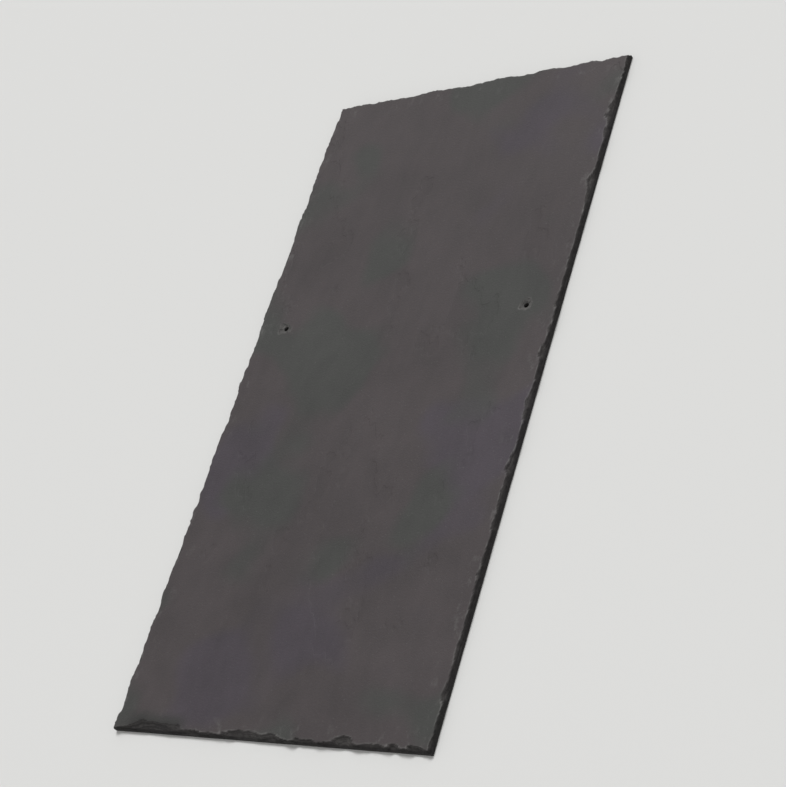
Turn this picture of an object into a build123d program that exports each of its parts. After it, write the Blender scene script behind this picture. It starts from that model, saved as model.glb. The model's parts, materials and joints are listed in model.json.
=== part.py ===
from build123d import *

import os
import random
from math import sqrt

# Natural roofing slate: one piece of stone, split to its thickness and dressed to its size.
# It lies on its bed with the exposed face up. X runs across the width, Y runs from the tail,
# the end that shows on the roof, to the head, and Z is up. The origin is the middle of the bed.

# Slab
length = 600.0
width = 300.0
thickness = 6.0

# Dressed edge. The knife comes down on the bed side and bursts the stone off the face side,
# so the face has a bevel all round, and under it the bed keeps a sharp square land.
bevel_width = 1.6
bevel_land = 3.0

# Nail holes, punched from the bed, with a shallow crater where the punch burst out of the face.
# They stand just clear of the head of the slate that lies below.
nail_hole_diameter = 4.5
nail_hole_from_tail = 360.0
nail_hole_from_side = 30.0
crater_diameter = 10.0
crater_angle = 110.0

# Flake scars: shell-shaped hollows that the knife left along the bevel, in three common sizes.
# Each is given by what shows of it: its length along the edge, its bite in over the face, and
# the land that it leaves of the square edge under it. The pitch is its spacing.
large_flake = {"length": 25.0, "bite": 3.8, "land": 2.0, "pitch": 75.0}
middle_flake = {"length": 17.0, "bite": 3.0, "land": 2.4, "pitch": 36.0}
small_flake = {"length": 12.0, "bite": 2.4, "land": 2.6, "pitch": 24.0}
shallow_spread = 0.6
place_spread = 0.32
flake_seed = 11

# Larger scars on the tail, from its left corner to its right one. The place is the distance
# from the left side to the scar's middle.
tail_scars = [
    {"place": 43.0, "length": 58.0, "bite": 10.0, "land": 2.6},
    {"place": 138.0, "length": 56.0, "bite": 6.5, "land": 2.4},
    {"place": 182.0, "length": 20.0, "bite": 5.0, "land": 2.0},
    {"place": 228.0, "length": 27.0, "bite": 8.0, "land": 1.8},
    {"place": 268.0, "length": 19.0, "bite": 5.5, "land": 1.8},
    {"place": 290.0, "length": 13.0, "bite": 4.8, "land": 2.0},
]


def hollow(scar):
    """Radius of a scar's sphere, and how far out and up its middle is from the slab's top arris."""
    bite = scar["bite"]
    drop = thickness - scar["land"]
    half_chord = sqrt(bite**2 + drop**2) / 2
    rise = (scar["length"] / 2) ** 2 * half_chord / (bite * drop)
    radius = sqrt(rise**2 + half_chord**2)
    out = -bite / 2 + rise * drop / (2 * half_chord)
    up = -drop / 2 + rise * bite / (2 * half_chord)
    return radius, out, up


def side_flakes(flake, side_length, edge_distance, turn, dice):
    """Sphere centres along one side, which faces -Y until it is turned about Z by turn degrees."""
    radius, out, up = hollow(flake)
    count = round(side_length / flake["pitch"])
    step = side_length / count
    centres = []
    for i in range(count):
        along = (i + 0.5 + dice.uniform(-place_spread, place_spread)) * step - side_length / 2
        away = edge_distance + out + dice.uniform(0, shallow_spread)
        centres.append(Vector(along, -away, thickness + up).rotate(Axis.Z, turn))
    return centres


def flake_centres(flake, dice):
    """Sphere centres of one size of flake scar, all round the slab."""
    tail = side_flakes(flake, width, length / 2, 0, dice)
    right = side_flakes(flake, length, width / 2, 90, dice)
    head = side_flakes(flake, width, length / 2, 180, dice)
    left = side_flakes(flake, length, width / 2, 270, dice)
    return tail + right + head + left


# The slate
nail_hole_x = width / 2 - nail_hole_from_side
nail_hole_y = nail_hole_from_tail - length / 2
flake_dice = random.Random(flake_seed)

with BuildPart() as roof_slate:
    with BuildSketch():
        Rectangle(width, length)
    extrude(amount=thickness)

    face = roof_slate.faces().sort_by(Axis.Z)[-1]
    chamfer(face.edges(), length=bevel_width, length2=thickness - bevel_land, reference=face)

    with Locations((-nail_hole_x, nail_hole_y, thickness), (nail_hole_x, nail_hole_y, thickness)):
        CounterSinkHole(
            nail_hole_diameter / 2, crater_diameter / 2, counter_sink_angle=crater_angle
        )

    for flake in (large_flake, middle_flake, small_flake):
        with Locations(*flake_centres(flake, flake_dice)):
            Sphere(hollow(flake)[0], mode=Mode.SUBTRACT)

    for scar in tail_scars:
        scar_radius, scar_out, scar_up = hollow(scar)
        with Locations((scar["place"] - width / 2, -length / 2 - scar_out, thickness + scar_up)):
            Sphere(scar_radius, mode=Mode.SUBTRACT)

roof_slate.part.label = "roof_slate"

os.makedirs("parts", exist_ok=True)
export_step(roof_slate.part, "parts/roof_slate.step")
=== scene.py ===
import json
from math import cos, radians, sin

import bpy
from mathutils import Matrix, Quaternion, Vector, noise
from mathutils.bvhtree import BVHTree


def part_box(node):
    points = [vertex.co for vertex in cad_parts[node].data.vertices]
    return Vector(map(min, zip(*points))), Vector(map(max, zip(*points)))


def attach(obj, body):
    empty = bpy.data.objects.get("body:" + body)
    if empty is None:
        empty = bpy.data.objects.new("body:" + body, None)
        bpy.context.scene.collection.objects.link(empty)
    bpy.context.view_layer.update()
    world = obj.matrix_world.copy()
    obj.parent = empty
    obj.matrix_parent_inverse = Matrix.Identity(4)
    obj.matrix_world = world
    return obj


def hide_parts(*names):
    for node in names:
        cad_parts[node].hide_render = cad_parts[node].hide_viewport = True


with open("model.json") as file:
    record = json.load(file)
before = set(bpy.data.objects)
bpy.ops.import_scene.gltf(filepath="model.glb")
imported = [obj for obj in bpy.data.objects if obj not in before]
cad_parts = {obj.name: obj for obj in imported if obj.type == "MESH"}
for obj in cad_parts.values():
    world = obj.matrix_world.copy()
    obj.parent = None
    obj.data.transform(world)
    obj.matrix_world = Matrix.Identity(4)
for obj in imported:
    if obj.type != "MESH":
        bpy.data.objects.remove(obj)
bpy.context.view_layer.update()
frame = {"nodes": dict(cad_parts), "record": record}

# The slate: one piece of natural stone, riven along its bedding to about 6 mm and dressed to size.
# The knife came down from the bed side, so the face side burst off in a bevel of overlapping
# chips all round. Two nail holes were punched from the bed, each with a shallow crater round it.
low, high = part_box("roof_slate")
width = high.x - low.x
length = high.y - low.y
thickness = high.z - low.z

nail_mount = next(m for m in frame["record"]["mounts"] if m["name"] == "nail_holes")
bore_radius = nail_mount["dims"]["hole_r_mm"] / 1000
crater_radius = 0.005
hole_x = nail_mount["dims"]["spacing_x_mm"] / 1000 / 2
hole_y = nail_mount["pos_m"][1]
hole_places = [Vector((-hole_x, hole_y)), Vector((hole_x, hole_y))]

# The skin is a grid, with its lines close together at the sides, where the chips are. The bed has
# every second line of it. A patch of rings takes the grid's place round each nail hole.
close_spacing = 0.00055
wide_spacing = 0.0020
close_strip = 0.008
spacing_fade = 0.030
hole_patch = 0.009
bed_stride = 2
wall_rows = 4
bore_rows = 5


def grid_lines(start, end):
    """Places of grid lines from one side to the other, close at both sides and wider between."""
    half = (end - start) / 2
    places = [0.0]
    while places[-1] < half:
        inward = min(max((places[-1] - close_strip) / spacing_fade, 0), 1)
        places.append(places[-1] + close_spacing + (wide_spacing - close_spacing) * inward)
    fit = half / places[-1]
    from_start = [start + place * fit for place in places]
    from_end = [end - place * fit for place in reversed(places[:-1])]
    return from_start + from_end


def bed_lines_round(lines, place):
    """The two lines of the bed that stand just outside the patch round a place."""
    of_bed = range(0, len(lines), bed_stride)
    before = max(i for i in of_bed if lines[i] <= place - hole_patch)
    after = min(i for i in of_bed if lines[i] >= place + hole_patch)
    return before, after


def loop_round(left, right, near, far):
    """Grid corners round a block of cells, counter-clockwise from its near left one."""
    near_side = [(i, near) for i in range(left, right)]
    right_side = [(right, j) for j in range(near, far)]
    far_side = [(i, far) for i in range(right, left, -1)]
    left_side = [(left, j) for j in range(far, near, -1)]
    return near_side + right_side + far_side + left_side


# The solid gives the face's height, read at least a hair inside its sides
solid = BVHTree.FromObject(frame["nodes"]["roof_slate"], bpy.context.evaluated_depsgraph_get())
straight_down = Vector((0, 0, -1))
hair = 0.00003

# The scars' true outlines are ragged: waves per metre, and how far each wave pushes a place.
# Each direction is pushed by its own slice of the noise. Near a side, a place is pushed less
# across it than along it.
ragged_waves = ((38.0, 0.0100), (120.0, 0.0050), (390.0, 0.0024))
ragged_slices = (0.4, 7.3)
ragged_across = 0.22
ragged_depth = 0.020

# The craters burst unevenly too: waves round the hole, and how much each wave stretches the
# crater. The drift, per metre, keeps one ring of the crater from repeating the next.
crater_waves = ((1.3, 0.55), (4.0, 0.30))
crater_drift = 9


def ragged(place):
    """A place pushed about at random, mostly along the side that it is near."""
    push = Vector((0.0, 0.0))
    for waves, reach in ragged_waves:
        for axis in (0, 1):
            spot = Vector((place.x * waves, place.y * waves, ragged_slices[axis]))
            push[axis] += noise.noise(spot) * reach
    gaps = (width / 2 - abs(place.x), length / 2 - abs(place.y))
    ease = [ragged_across + (1 - ragged_across) * min(gap / ragged_depth, 1) for gap in gaps]
    return place + Vector((push.x * ease[0], push.y * ease[1]))


def in_crater(away):
    """A step away from a hole's middle, stretched unevenly round the hole and kept off the bore."""
    turn = away.normalized()
    stretch = 1.0
    for waves, share in crater_waves:
        spot = Vector((turn.x * waves, turn.y * waves, away.x * crater_drift))
        stretch += noise.noise(spot) * share
    return turn * (bore_radius + max((away.length - bore_radius) * stretch, hair))


def face_height(place):
    """Height of the dressed face over a place on the bed, read off the solid."""
    hole = min(hole_places, key=lambda middle: (place - middle).length)
    away = place - hole
    if away.length > hole_patch:
        pushed = ragged(place)
        if (pushed - hole).length > hole_patch:
            place = pushed
    else:
        place = hole + in_crater(away)
    x = min(max(place.x, low.x + hair), high.x - hair)
    y = min(max(place.y, low.y + hair), high.y - hair)
    return solid.ray_cast(Vector((x, y, 2 * high.z)), straight_down)[0].z


# Each point has a rise, from 0 on the bed to 1 on the face, and the face's height over it
points = []
rises = []
heights = []
faces = []


def point(place, rise, height):
    """Adds a point at a share of the height from the bed to the face."""
    points.append((place.x, place.y, rise * height))
    rises.append(rise)
    heights.append(height)
    return len(points) - 1


def band(outer, inner):
    """Joins two rings with faces. One ring may have several times as many points as the other."""
    sides = min(len(outer), len(inner))

    def side(ring, k):
        """The points of a ring along one of the sides."""
        times = len(ring) // sides
        return [ring[(k * times + i) % len(ring)] for i in range(times + 1)]

    for k in range(sides):
        faces.append(tuple(side(outer, k) + side(inner, k)[::-1]))


columns = grid_lines(low.x, high.x)
rows = grid_lines(low.y, high.y)
last_column = len(columns) - 1
last_row = len(rows) - 1
patches = [bed_lines_round(columns, h.x) + bed_lines_round(rows, h.y) for h in hole_places]


def in_patch(i, j):
    """Whether a cell belongs to the patch round a nail hole."""
    return any(left <= i < right and near <= j < far for left, right, near, far in patches)


def inside_patch(i, j):
    """Whether a grid corner lies within a patch, off its rim."""
    return any(left < i < right and near < j < far for left, right, near, far in patches)


# The face, cell by cell
face_points = {}
for j, y in enumerate(rows):
    for i, x in enumerate(columns):
        if not inside_patch(i, j):
            place = Vector((x, y))
            face_points[i, j] = point(place, 1, face_height(place))
for j in range(last_row):
    for i in range(last_column):
        if not in_patch(i, j):
            corners = loop_round(i, i + 1, j, j + 1)
            faces.append(tuple(face_points[corner] for corner in corners))

# The walls, from the face down to the bed
outline = loop_round(0, last_column, 0, last_row)
upper = [face_points[corner] for corner in outline]
for k in range(wall_rows - 1, -1, -1):
    lower = [
        point(Vector((columns[i], rows[j])), k / wall_rows, heights[face_points[i, j]])
        for i, j in outline
    ]
    band(lower, upper)
    upper = lower
bed_points = dict(zip(outline, upper))

# The bed, whose cells at the sides also take up the walls' lines between its own
for j in range(0, last_row + 1, bed_stride):
    for i in range(0, last_column + 1, bed_stride):
        if (i, j) not in bed_points and not inside_patch(i, j):
            bed_points[i, j] = point(Vector((columns[i], rows[j])), 0, high.z)
for j in range(0, last_row, bed_stride):
    for i in range(0, last_column, bed_stride):
        if not in_patch(i, j):
            corners = reversed(loop_round(i, i + bed_stride, j, j + bed_stride))
            faces.append(tuple(bed_points[corner] for corner in corners if corner in bed_points))

# Rings of a nail hole: shares of the way from the crater's circle out to the patch's rim, on the
# face and on the bed, shares of the way from the bore out to that circle, and the radius of one
# more ring on the bed
face_shares = (0.85, 0.65, 0.48, 0.34, 0.22, 0.11)
bed_shares = (0.0, 0.5)
crater_shares = (1.0, 0.86, 0.72, 0.58, 0.44, 0.30, 0.15, 0.0)
bed_ring_radius = 0.7 * crater_radius


def nail_hole(hole, patch):
    """Rings from a patch's rim in over the face, down the crater and the bore, and out on the bed."""
    rim = loop_round(*patch)
    corner_places = [Vector((columns[i], rows[j])) for i, j in rim]
    rim_places = []
    for here, after in zip(corner_places, corner_places[1:] + corner_places[:1]):
        rim_places += [here, here.lerp(after, 0.5)]
    rays = [(place - hole).normalized() for place in rim_places]

    def round_ring(radius, rise):
        """A ring of points on a circle round the hole."""
        places = [hole + ray * radius for ray in rays]
        return [point(place, rise, face_height(place)) for place in places]

    def square_ring(share, rise):
        """A ring of points between the crater's circle and the patch's rim."""
        places = [(hole + r * crater_radius).lerp(p, share) for r, p in zip(rays, rim_places)]
        return [point(place, rise, face_height(place)) for place in places]

    rings = [[face_points[corner] for corner in rim]]
    rings += [square_ring(share, 1) for share in face_shares]
    for share in crater_shares:
        rings.append(round_ring(bore_radius + (crater_radius - bore_radius) * share, 1))
    rings += [round_ring(bore_radius, k / bore_rows) for k in range(bore_rows - 1, -1, -1)]
    rings.append(round_ring(bed_ring_radius, 0))
    rings += [square_ring(share, 0) for share in bed_shares]
    rings.append([bed_points[corner] for corner in rim[::bed_stride]])
    for outer, inner in zip(rings, rings[1:]):
        band(outer, inner)


for hole, patch in zip(hole_places, patches):
    nail_hole(hole, patch)

blank_mesh = bpy.data.meshes.new("slate blank")
blank_mesh.from_pydata(points, [], faces)
blank_mesh.attributes.new("rise", "FLOAT", "POINT").data.foreach_set("value", rises)
blank_mesh.attributes.new("face_height", "FLOAT", "POINT").data.foreach_set("value", heights)
blank = bpy.data.objects.new("slate blank", blank_mesh)
bpy.context.scene.collection.objects.link(blank)


class Wire:
    """One output of a node. Arithmetic on it adds Math nodes to its tree."""

    def __init__(self, tree, socket):
        self.tree = tree
        self.socket = socket

    def out(self, name):
        """Another output of the same node."""
        outputs = self.socket.node.outputs
        return Wire(self.tree, next(s for s in outputs if s.enabled and s.name == name))

    def __add__(self, other):
        return self.tree.math("ADD", self, other)

    def __radd__(self, other):
        return self.tree.math("ADD", other, self)

    def __sub__(self, other):
        return self.tree.math("SUBTRACT", self, other)

    def __rsub__(self, other):
        return self.tree.math("SUBTRACT", other, self)

    def __mul__(self, other):
        return self.tree.math("MULTIPLY", self, other)

    def __rmul__(self, other):
        return self.tree.math("MULTIPLY", other, self)

    def __truediv__(self, other):
        return self.tree.math("DIVIDE", self, other)

    def __gt__(self, other):
        return self.tree.math("GREATER_THAN", self, other)

    def __lt__(self, other):
        return self.tree.math("LESS_THAN", self, other)


class Tree:
    """A node tree that is filled node by node."""

    def __init__(self, node_tree):
        self.tree = node_tree
        self.tree.nodes.clear()

    def add(self, kind, settings=None, sockets=None):
        """Adds a node, makes its settings, then gives its sockets their values or links."""
        node = self.tree.nodes.new(kind)
        for name, value in (settings or {}).items():
            setattr(node, name, value)
        for key, value in (sockets or {}).items():
            by_name = [s for s in node.inputs if s.enabled and s.name == key]
            socket = by_name[0] if by_name else node.inputs[key]
            for each in value if isinstance(value, list) else [value]:
                if isinstance(each, Wire):
                    self.tree.links.new(each.socket, socket)
                else:
                    socket.default_value = each
        shown = [s for s in node.outputs if s.enabled]
        return Wire(self, shown[0]) if shown else None

    def math(self, operation, *values):
        """A Math node on one or two values."""
        return self.add("ShaderNodeMath", {"operation": operation}, dict(enumerate(values)))

    def vector(self, operation, *values):
        """A Vector Math node on one or two vectors."""
        kind = "ShaderNodeVectorMath"
        return self.add(kind, {"operation": operation}, dict(enumerate(values)))

    def joined(self, **parts):
        """A vector from its parts X, Y and Z, each 0 if it isn't given."""
        return self.add("ShaderNodeCombineXYZ", None, parts)

    def parted(self, vector):
        """The node that parts a vector, with the outputs X, Y and Z."""
        return self.add("ShaderNodeSeparateXYZ", None, {"Vector": vector})

    def ramp(self, value, start, end):
        """A smooth rise from 0 at start to 1 at end."""
        limits = {"Value": value, "From Min": start, "From Max": end}
        return self.add("ShaderNodeMapRange", {"interpolation_type": "SMOOTHSTEP"}, limits)

    def noise(self, place, scale, detail, roughness=0.5):
        """Cloudy noise from 0 to 1, with the middle at 0.5."""
        sockets = {"Vector": place, "Scale": scale, "Detail": detail, "Roughness": roughness}
        return self.add("ShaderNodeTexNoise", None, sockets)

    def stretched(self, place, x, y, z):
        """A place with each axis scaled by its own factor."""
        return self.vector("MULTIPLY", place, (x, y, z))

    def elsewhere(self, place, x, y):
        """A place moved to another part of the noise, so that two clouds don't fall together."""
        return self.vector("ADD", place, (x, y, 0.0))


def swing(cloud, amount):
    """A cloud from 0 to 1 turned into a swing of half the amount to each side of nothing."""
    return (cloud - 0.5) * amount


def clefts(tree, place):
    """Islands where a last thin layer split away from the face: 1 inside, 0 outside."""
    islands = tree.noise(tree.stretched(place, 1, 0.45, 0), scale=6.5, detail=6, roughness=0.6)
    return tree.ramp(islands, 0.590, 0.596) + tree.ramp(islands, 0.412, 0.406)


# The slate's own sizes, and what the dressing and the splitting leave on it, in metres: rows of
# small nibbles and larger chips along the sides and of bursts round the holes, each with its
# spacing and its bite, how ragged they are, the layers and tears of broken stone, the relief of
# the face and the bed, and how far the sides waver
dressing_sizes = {
    "Width": width,
    "Length": length,
    "Thickness": thickness,
    "Hole X": hole_x,
    "Hole Y": hole_y,
    "Crater radius": crater_radius,
    "Nibble spacing": 0.0034,
    "Nibble least": 0.0013,
    "Nibble most": 0.0024,
    "Chip spacing": 0.0190,
    "Chip least": 0.0020,
    "Chip most": 0.0036,
    "Ragged": 0.0022,
    "Burst spacing": 0.0048,
    "Burst least": 0.0016,
    "Burst most": 0.0040,
    "Layer": 0.00055,
    "Tear": 0.00036,
    "Swell": 0.00110,
    "Grain": 0.00020,
    "Cleft": 0.00020,
    "Bed hollow": 0.00030,
    "Waver": 0.00045,
}
dressing_seed = 7

# Shares that go with them: where the bursts' circle runs in the crater, how deep a chip is for
# its bite, how far a chip strays from its even place in the row, and how nearly a row has to run
# along X or Y for its chips to stray. Each stretch of a row's curve is cut finely beforehand.
burst_circle = 0.7
chip_depth = 0.5
chip_stray = 0.45
nearly_along = 0.999
curve_cuts = 120

# Stone counts as broken from the first depth under the old face, and fully from the second. The
# waver is full at a side and gone at the second distance. The side strip is the wall itself. The
# bruises spread by so many rounds of blur, and bends sharper than the last angle stay sharp.
broken_depths = (0.00003, 0.00035)
waver_fade = (0.0, 0.006)
side_strip = 0.0001
bruise_spread = 3
smooth_bend = radians(38)


def chipped_height(tree, given, plan, position, face):
    """Height of the face once the nibbles, the chips and the bursts are out of it."""
    outline_sizes = {"Width": given.out("Width"), "Height": given.out("Length")}
    outline_curve = tree.add("GeometryNodeCurvePrimitiveQuadrilateral", None, outline_sizes)
    circle = {"Radius": burst_circle * given.out("Crater radius")}
    circle_curve = tree.add("GeometryNodeCurvePrimitiveCircle", None, circle)
    hole_curves = []
    for x in (0 - given.out("Hole X"), given.out("Hole X")):
        moved = {"Geometry": circle_curve, "Translation": tree.joined(X=x, Y=given.out("Hole Y"))}
        hole_curves.append(tree.add("GeometryNodeTransform", None, moved))

    pushes = tree.noise(plan, scale=380, detail=3, roughness=0.6).out("Color")
    pushes = tree.vector("SUBTRACT", pushes, (0.5, 0.5, 0.5))
    reach_of_push = tree.joined(X=given.out("Ragged"), Y=given.out("Ragged"))
    torn_plan = tree.vector("ADD", plan, tree.vector("MULTIPLY", pushes, reach_of_push))

    def bowls(kind, curves, seed):
        """Height of the nearest of a row of bowl-shaped chips along some curves."""
        spacing = given.out(kind + " spacing")
        least = given.out(kind + " least")
        most = given.out(kind + " most")
        curve = tree.add("GeometryNodeJoinGeometry", None, {"Geometry": curves})
        curve = tree.add("GeometryNodeSubdivideCurve", None, {"Curve": curve, "Cuts": curve_cuts})
        row = tree.add("GeometryNodeCurveToPoints", {"mode": "LENGTH"},
                       {"Curve": curve, "Length": spacing})

        # A chip strays only where its row runs along X or Y, so none leaves it at a corner
        run = row.out("Tangent")
        run_parts = tree.parted(tree.vector("ABSOLUTE", run))
        may_stray = tree.math("MAXIMUM", run_parts.out("X"), run_parts.out("Y")) > nearly_along
        shift = tree.add("FunctionNodeRandomValue", None,
                         {"Min": -chip_stray, "Max": chip_stray, "Seed": seed})
        along = tree.add("ShaderNodeVectorMath", {"operation": "SCALE"},
                         {0: run, "Scale": shift * spacing * may_stray})
        row = tree.add("GeometryNodeSetPosition", None, {"Geometry": row, "Offset": along})

        # The squared dice makes small bites common and large ones rare
        dice = tree.add("FunctionNodeRandomValue", None, {"Seed": seed + 1})
        bite = least + (most - least) * dice * dice
        nearest = tree.add("GeometryNodeSampleNearest", None,
                           {"Geometry": row, "Sample Position": torn_plan})
        bite = tree.add("GeometryNodeSampleIndex", None,
                        {"Geometry": row, "Value": bite, "Index": nearest})
        middle = tree.add("GeometryNodeSampleIndex", {"data_type": "FLOAT_VECTOR"},
                          {"Geometry": row, "Value": position, "Index": nearest})
        reach = tree.vector("DISTANCE", middle, torn_plan).out("Value") / bite
        return given.out("Thickness") - bite * chip_depth * (1 - reach * reach)

    # Each row throws its own dice
    nibbles = bowls("Nibble", [outline_curve], given.out("Seed"))
    chips = bowls("Chip", [outline_curve], given.out("Seed") + 10)
    bursts = bowls("Burst", hole_curves, given.out("Seed") + 20)
    return tree.math("MINIMUM", tree.math("MINIMUM", face, nibbles),
                     tree.math("MINIMUM", chips, bursts))


def layers_and_tears(tree, given, plan, level):
    """How far broken stone stands off its level, in thin uneven layers with a torn surface."""
    # Counted in layers, their levels wander over the slate and are uneven in depth
    depth = tree.joined(Z=level)
    wander = tree.noise(plan, scale=90, detail=4, roughness=0.62)
    uneven = tree.noise(depth, scale=1500, detail=1)
    lift = wander * 4 + uneven * 1.6
    layer = level / given.out("Layer") + lift

    # Each layer is flat at first and then rises to the next, more clearly in some places
    tread = tree.math("FLOOR", layer)
    riser = tree.ramp(layer - tread, 0.35, 1.0)
    stepped = (tread + riser - lift) * given.out("Layer")
    in_layers = 0.25 + tree.ramp(tree.noise(plan, scale=70, detail=2), 0.35, 0.65) * 0.55
    tear = swing(tree.noise(plan, scale=420, detail=3), given.out("Tear"))
    return (stepped - level) * in_layers + tear


def riven_relief(tree, given, plan):
    """Relief of the riven face: long swells, a fine grain down the length and a few thin clefts."""
    swells = tree.noise(tree.stretched(plan, 1, 0.6, 1), scale=7, detail=2)
    grain = tree.noise(tree.stretched(plan, 1, 0.16, 1), scale=150, detail=3)
    relief = swing(swells, given.out("Swell")) + swing(grain, given.out("Grain"))
    return relief - clefts(tree, plan) * given.out("Cleft")


def wavered(tree, given, along, across, gap):
    """A place across the slate, pulled in a little and unevenly along the side, most at the side."""
    side = tree.math("SIGN", across)
    cloud = tree.noise(tree.joined(X=along, Y=side), scale=45, detail=3)
    pull = (cloud - 0.2) * given.out("Waver")
    pull = tree.math("MAXIMUM", pull, 0.0) * (1 - tree.ramp(gap, *waver_fade))
    return across - side * pull


def marked(tree, slate, broken):
    """The slate with broken and bruised stone marked for the material, and the blank's marks off."""
    spread = tree.add("GeometryNodeBlurAttribute", None, {"Value": broken, "Iterations": bruise_spread})
    bruised = tree.ramp(spread, 0.03, 0.36) * (1 - broken)
    for name, value in (("bruised", bruised), ("broken", broken)):
        slate = tree.add("GeometryNodeStoreNamedAttribute", None,
                         {"Geometry": slate, "Name": name, "Value": value})
    for spent in ("rise", "face_height"):
        slate = tree.add("GeometryNodeRemoveAttribute", None, {"Geometry": slate, "Name": spent})
    return slate


def dressing_tree():
    """Chips the blank's edges, rives its face and bed, and marks where the stone is broken."""
    group = bpy.data.node_groups.new("dressing and riving", "GeometryNodeTree")
    tree = Tree(group)
    group.interface.new_socket("Blank", in_out="INPUT", socket_type="NodeSocketGeometry")
    for name in dressing_sizes:
        group.interface.new_socket(name, in_out="INPUT", socket_type="NodeSocketFloat")
    group.interface.new_socket("Seed", in_out="INPUT", socket_type="NodeSocketInt")
    group.interface.new_socket("Stone", in_out="INPUT", socket_type="NodeSocketMaterial")
    group.interface.new_socket("Slate", in_out="OUTPUT", socket_type="NodeSocketGeometry")

    given = tree.add("NodeGroupInput")
    position = tree.add("GeometryNodeInputPosition")
    x = tree.parted(position).out("X")
    y = tree.parted(position).out("Y")
    plan = tree.joined(X=x, Y=y)
    rise = tree.add("GeometryNodeInputNamedAttribute", None, {"Name": "rise"})
    face = tree.add("GeometryNodeInputNamedAttribute", None, {"Name": "face_height"})

    chipped = chipped_height(tree, given, plan, position, face)
    broken = tree.ramp(given.out("Thickness") - chipped, *broken_depths)
    chipped = chipped + broken * layers_and_tears(tree, given, plan, chipped)
    face_level = chipped + riven_relief(tree, given, plan)
    bed_cloud = tree.noise(tree.elsewhere(plan, 3.0, 1.0), scale=9, detail=4)
    bed_level = tree.ramp(bed_cloud, 0.3, 0.7) * given.out("Bed hollow")
    new_z = rise * face_level + (1 - rise) * bed_level

    side_gap = given.out("Width") / 2 - tree.math("ABSOLUTE", x)
    end_gap = given.out("Length") / 2 - tree.math("ABSOLUTE", y)
    new_x = wavered(tree, given, y, x, side_gap)
    new_y = wavered(tree, given, x, y, end_gap)
    moved = {"Geometry": given.out("Blank"), "Position": tree.joined(X=new_x, Y=new_y, Z=new_z)}
    slate = tree.add("GeometryNodeSetPosition", None, moved)

    # The chips, the craters, the bores and the walls are broken stone, and the bed is not. Only
    # the walls and the bores have a rise between 0 and 1.
    at_side = tree.math("MINIMUM", side_gap, end_gap) < side_strip
    in_wall = (rise > 0.001) * (rise < 0.999)
    broken = broken * (rise > 0.5)
    broken = tree.math("MAXIMUM", broken, tree.math("MAXIMUM", at_side, in_wall))
    slate = marked(tree, slate, broken)

    slate = tree.add("GeometryNodeSetShadeSmooth", {"domain": "FACE"},
                     {"Geometry": slate, "Shade Smooth": True})
    bend = tree.add("GeometryNodeInputMeshEdgeAngle").out("Unsigned Angle")
    slate = tree.add("GeometryNodeSetShadeSmooth", {"domain": "EDGE"},
                     {"Geometry": slate, "Shade Smooth": bend < smooth_bend})
    slate = tree.add("GeometryNodeRealizeInstances", None, {"Geometry": slate})
    slate = tree.add("GeometryNodeSetMaterial", None,
                     {"Geometry": slate, "Material": given.out("Stone")})
    tree.add("NodeGroupOutput", None, {"Slate": slate})
    return group


# The stone's colours: the face and its clouds, the dust on it, the walls, darkened nearly to black with
# painted shade, and the scars
warm_grey = (0.0532, 0.0446, 0.0464, 1)
purple_grey = (0.0518, 0.0429, 0.0528, 1)
green_grey = (0.0440, 0.0448, 0.0424, 1)
dust_grey = (0.150, 0.146, 0.142, 1)
# The walls' greys are the broken stone's own, darkened nearly to black with painted shade
wall_dark_painted_shade = (0.0060, 0.0056, 0.0056, 1)
wall_pale_painted_shade = (0.0260, 0.0242, 0.0236, 1)
scar_dark = (0.0250, 0.0230, 0.0230, 1)
scar_pale = (0.0680, 0.0640, 0.0620, 1)

# Distances from a side, in metres, over which the scuffs fade out and the walls' painted shade, nearly
# black, gives way to the scars' grey, and how many times the crater's radius its powder reaches
scuff_fade = (0.003, 0.022)
painted_wall_shade_to_scar = (0.0008, 0.0024)
powder_reach = 1.7

# A darker, greener patch at the left end of the tail: its middle, and how far it reaches along the tail
# and up from it, full at the first distance and gone at the second
dark_patch_middle = -0.108
dark_patch_along = (0.018, 0.038)
dark_patch_up = (0.006, 0.018)


def mixed(tree, share, first, second, blend="MIX"):
    """Two colours mixed by a share of the second."""
    settings = {"data_type": "RGBA", "blend_type": blend}
    return tree.add("ShaderNodeMix", settings, {"Factor": share, "A": first, "B": second})


def clouded_grey(tree, place):
    """The face's warm grey, with soft purplish and greenish clouds."""
    purple_clouds = tree.noise(tree.elsewhere(place, 1.0, 4.0), scale=7, detail=2)
    green_clouds = tree.noise(tree.elsewhere(place, 5.0, 2.0), scale=8, detail=2)
    colour = mixed(tree, tree.ramp(purple_clouds, 0.57, 0.64), warm_grey, purple_grey)
    return mixed(tree, tree.ramp(green_clouds, 0.52, 0.60), colour, green_grey)


def dust_cover(tree, place, side_gap, bruised):
    """Scuffs near the sides, where slates rub in the stack, specks, and the chips' bruised rims."""
    near_side = 1 - tree.ramp(side_gap, *scuff_fade)
    rubs = tree.noise(tree.stretched(place, 1, 0.6, 1), scale=130, detail=5, roughness=0.68)
    scuffs = near_side * tree.ramp(rubs, 0.54, 0.74)
    specks = tree.ramp(tree.noise(place, scale=700, detail=1), 0.70, 0.76)
    bruises = bruised * tree.ramp(tree.noise(place, scale=110, detail=3), 0.30, 0.62)
    return tree.math("MINIMUM", scuffs * 0.42 + specks * 0.25 + bruises * 0.65, 1.0)


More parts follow.
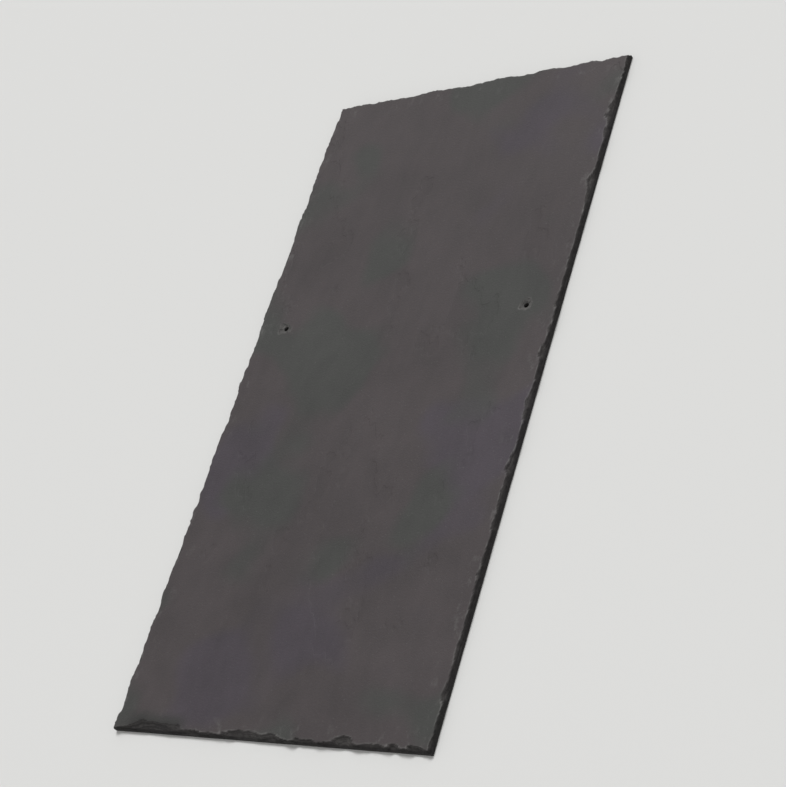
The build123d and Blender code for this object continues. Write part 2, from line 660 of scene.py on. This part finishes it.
def broken_grey_and_wall_shade(tree, side_gap, layers, tear):
    """Thin layers of broken stone seen on end, paler in the scars, and on the walls darkened nearly to
    black with painted shade.
    """
    in_scar = tree.ramp(side_gap, *painted_wall_shade_to_scar)
    layer_share = tree.ramp(layers * 0.6 + tear * 0.4, 0.40, 0.66)
    dark_stone_and_wall_shade = mixed(tree, in_scar, wall_dark_painted_shade, scar_dark)
    pale_stone_and_wall_shade = mixed(tree, in_scar, wall_pale_painted_shade, scar_pale)
    return mixed(tree, layer_share, dark_stone_and_wall_shade, pale_stone_and_wall_shade)


def slate_stone():
    """Dark warm grey slate, matt with a faint sheen, with paler dust on its broken edges."""
    material = bpy.data.materials.new("riven slate")
    material.use_nodes = True
    tree = Tree(material.node_tree)
    place = tree.add("ShaderNodeTexCoord").out("Object")
    x = tree.parted(place).out("X")
    y = tree.parted(place).out("Y")
    z = tree.parted(place).out("Z")
    side_gap = tree.math("MINIMUM", width / 2 - tree.math("ABSOLUTE", x),
                         length / 2 - tree.math("ABSOLUTE", y))
    broken = tree.add("ShaderNodeAttribute", {"attribute_name": "broken"}).out("Fac")
    bruised = tree.add("ShaderNodeAttribute", {"attribute_name": "bruised"}).out("Fac")

    # From the finest to the widest: grit, streaks down the length, mottle and patches. After
    # them come the clefts, and the layers and tears of broken stone.
    grit = tree.noise(place, scale=1900, detail=2)
    streaks = tree.noise(tree.stretched(place, 1, 0.22, 1), scale=150, detail=5, roughness=0.62)
    mottle = tree.noise(place, scale=45, detail=5, roughness=0.6)
    patches = tree.noise(place, scale=11, detail=3)
    cleft = clefts(tree, place)
    layers = tree.noise(tree.stretched(place, 25, 25, 2600), scale=1, detail=3, roughness=0.6)
    tear = tree.noise(place, scale=300, detail=4, roughness=0.6)

    colour = mixed(tree, dust_cover(tree, place, side_gap, bruised),
                   clouded_grey(tree, place), dust_grey)
    # Broken stone takes its layered greys, with painted shade darkening them on the walls
    colour = mixed(tree, broken * 0.9, colour, broken_grey_and_wall_shade(tree, side_gap, layers, tear))

    # The craters are powdered by the punch, and the bores under them are not
    from_hole = tree.vector("DISTANCE", tree.joined(X=tree.math("ABSOLUTE", x), Y=y),
                            (hole_x, hole_y, 0)).out("Value")
    near_hole = 1 - tree.ramp(from_hole, crater_radius, powder_reach * crater_radius)
    powder = broken * near_hole * (z > thickness / 2)
    colour = mixed(tree, powder * (0.25 + tear * 0.5), colour, dust_grey)

    # Darker and greener towards the left end of the tail, by place only
    dark_patch = 1 - tree.ramp(tree.math("ABSOLUTE", x - dark_patch_middle), *dark_patch_along)
    dark_patch = dark_patch * (1 - tree.ramp(y + length / 2 + swing(mottle, 0.012), *dark_patch_up))
    colour = mixed(tree, dark_patch * (1 - broken) * 0.9, colour, green_grey)

    shade = 1 + swing(streaks, 0.22) + swing(mottle, 0.56) + swing(grit, 0.26)
    shade = (shade + swing(patches, 0.56) - cleft * 0.04) * (1 - dark_patch * 0.42)
    shade_grey = tree.add("ShaderNodeCombineColor", None,
                          {"Red": shade, "Green": shade, "Blue": shade})
    colour = mixed(tree, 1.0, colour, shade_grey, "MULTIPLY")

    roughness = 0.64 + swing(mottle, 0.20) + swing(grit, 0.12) + broken * 0.22
    rough = tree.noise(place, scale=520, detail=5, roughness=0.65)
    relief = streaks * 0.7 + rough * 1.2 + grit * 0.25 - cleft * 0.8
    relief = relief + broken * (layers * 1.6 + tear * 1.2)
    bump = tree.add("ShaderNodeBump", None,
                    {"Strength": 0.8, "Distance": 0.00026, "Height": relief})
    surface = tree.add("ShaderNodeBsdfPrincipled", None,
                       {"Base Color": colour, "Roughness": roughness, "Normal": bump,
                        "Specular IOR Level": 0.3})
    tree.add("ShaderNodeOutputMaterial", None, {"Surface": surface})
    return material


dressing = blank.modifiers.new("dressing", "NODES")
dressing.node_group = dressing_tree()
dressing_inputs = dict(dressing_sizes, Seed=dressing_seed, Stone=slate_stone())
for item in dressing.node_group.interface.items_tree:
    if item.in_out == "INPUT" and item.name in dressing_inputs:
        dressing[item.identifier] = dressing_inputs[item.name]
depsgraph = bpy.context.evaluated_depsgraph_get()
slate_mesh = bpy.data.meshes.new_from_object(blank.evaluated_get(depsgraph), depsgraph=depsgraph)
blank.modifiers.remove(dressing)
bpy.data.objects.remove(blank)
dressed_slate = bpy.data.objects.new("dressed_slate", slate_mesh)
bpy.context.scene.collection.objects.link(dressed_slate)
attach(dressed_slate, "root")
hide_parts("roof_slate")

# The floor: a plain pale sheet, painted matt, that the slate lies on with its bed down.
# It is wide enough that no view shows its edge near the slate.
floor_size = 80.0
half_floor = floor_size / 2
floor_mesh = bpy.data.meshes.new("floor")
floor_corners = [(-half_floor, -half_floor, 0), (half_floor, -half_floor, 0),
                 (half_floor, half_floor, 0), (-half_floor, half_floor, 0)]
floor_mesh.from_pydata(floor_corners, [], [(0, 1, 2, 3)])
floor = bpy.data.objects.new("floor", floor_mesh)
bpy.context.scene.collection.objects.link(floor)
floor_paint = bpy.data.materials.new("floor paint")
floor_paint.use_nodes = True
floor_tree = Tree(floor_paint.node_tree)
floor_surface = floor_tree.add("ShaderNodeBsdfPrincipled", None,
                               {"Base Color": (0.74, 0.74, 0.73, 1), "Roughness": 0.85})
floor_tree.add("ShaderNodeOutputMaterial", None, {"Surface": floor_surface})
floor_mesh.materials.append(floor_paint)

# The light: a broad soft sun from above the head end, and an even pale fill all round.
# Seen straight on, in gloss or through glass, the fill shows as a paler backdrop.
lamp = bpy.data.lights.new("soft lamp", "SUN")
lamp.angle = radians(24)
lamp.energy = 1.95
lamp_object = bpy.data.objects.new("soft lamp", lamp)
lamp_object.location = (-0.35, 2.0, 2.9)
lamp_object.rotation_euler = (-lamp_object.location).to_track_quat("-Z", "Y").to_euler()
bpy.context.scene.collection.objects.link(lamp_object)

fill_level = 0.45
backdrop_level = 0.70
fill_colour = (1.0, 1.0, 0.99, 1)
world = bpy.data.worlds.new("fill")
world.use_nodes = True
world_tree = Tree(world.node_tree)
ray = world_tree.add("ShaderNodeLightPath")
seen = ray.out("Is Camera Ray") + ray.out("Is Glossy Ray") + ray.out("Is Transmission Ray")
seen = world_tree.math("MINIMUM", seen, 1.0)
strength = fill_level + seen * (backdrop_level - fill_level)
fill = world_tree.add("ShaderNodeBackground", None, {"Color": fill_colour, "Strength": strength})
world_tree.add("ShaderNodeOutputWorld", None, {"Surface": fill})
bpy.context.scene.world = world

# The camera: beside the slate's right long side and above it, rolled so that the tail is lowest.
# Its lens is given by the focal length in pixels of a picture that is 787 pixels high.
camera_azimuth = radians(54.1)
camera_elevation = radians(41.0)
camera_distance = 1.443
camera_roll = radians(46.35)
aim = Vector((0.0139, -0.0092, 0.0))
focal_pixels = 1838.0
picture_height = 787.0
camera = bpy.data.cameras.new("camera")
camera.sensor_width = 36.0
camera.lens = focal_pixels * camera.sensor_width / picture_height
camera_object = bpy.data.objects.new("camera", camera)
camera_object.location = camera_distance * Vector((
    sin(camera_azimuth) * cos(camera_elevation),
    -cos(camera_azimuth) * cos(camera_elevation),
    sin(camera_elevation),
))
forward = (aim - camera_object.location).normalized()
level = forward.to_track_quat("-Z", "Y")
camera_object.rotation_euler = (Quaternion(forward, camera_roll) @ level).to_euler()
bpy.context.scene.collection.objects.link(camera_object)
bpy.context.scene.camera = camera_object
bpy.context.scene.view_settings.view_transform = "Standard"
